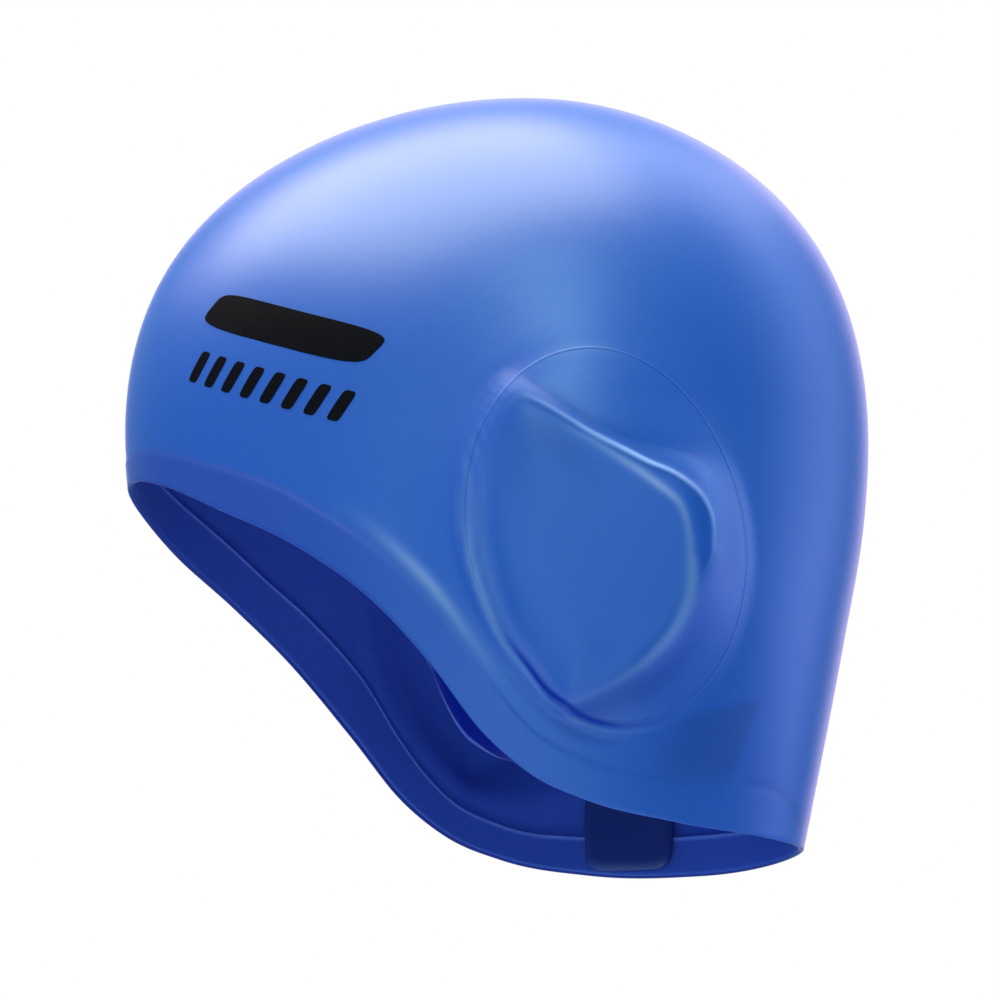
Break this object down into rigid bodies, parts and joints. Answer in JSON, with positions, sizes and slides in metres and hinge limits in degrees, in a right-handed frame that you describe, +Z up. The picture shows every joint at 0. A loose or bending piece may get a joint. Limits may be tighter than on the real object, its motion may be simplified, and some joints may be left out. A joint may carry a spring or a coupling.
{
  "type": "swim cap",
  "caption": "Moulded silicone swim cap in its worn form: a thin shell with a thicker hem, a raised pocket over each ear and a thick pull pad inside behind each ear; open below for a head.",
  "frame": {"origin": "inside of the crown, where the top of the wearer's head sits", "axes": "+Z up, -Y toward the forehead, +Y toward the nape, +X toward the wearer's left ear"},
  "size_m": [0.177, 0.2024, 0.206],
  "materials": {
    "silicone": "satin matt, fine grain, slightly translucent",
    "pad_silicone": "satin matt",
    "print_ink": "matt printed silicone ink"
  },
  "bodies": {
    "root": {"cap_shell": "silicone", "pull_pad_left": "pad_silicone", "pull_pad_right": "pad_silicone"}
  },
  "joints": []
}
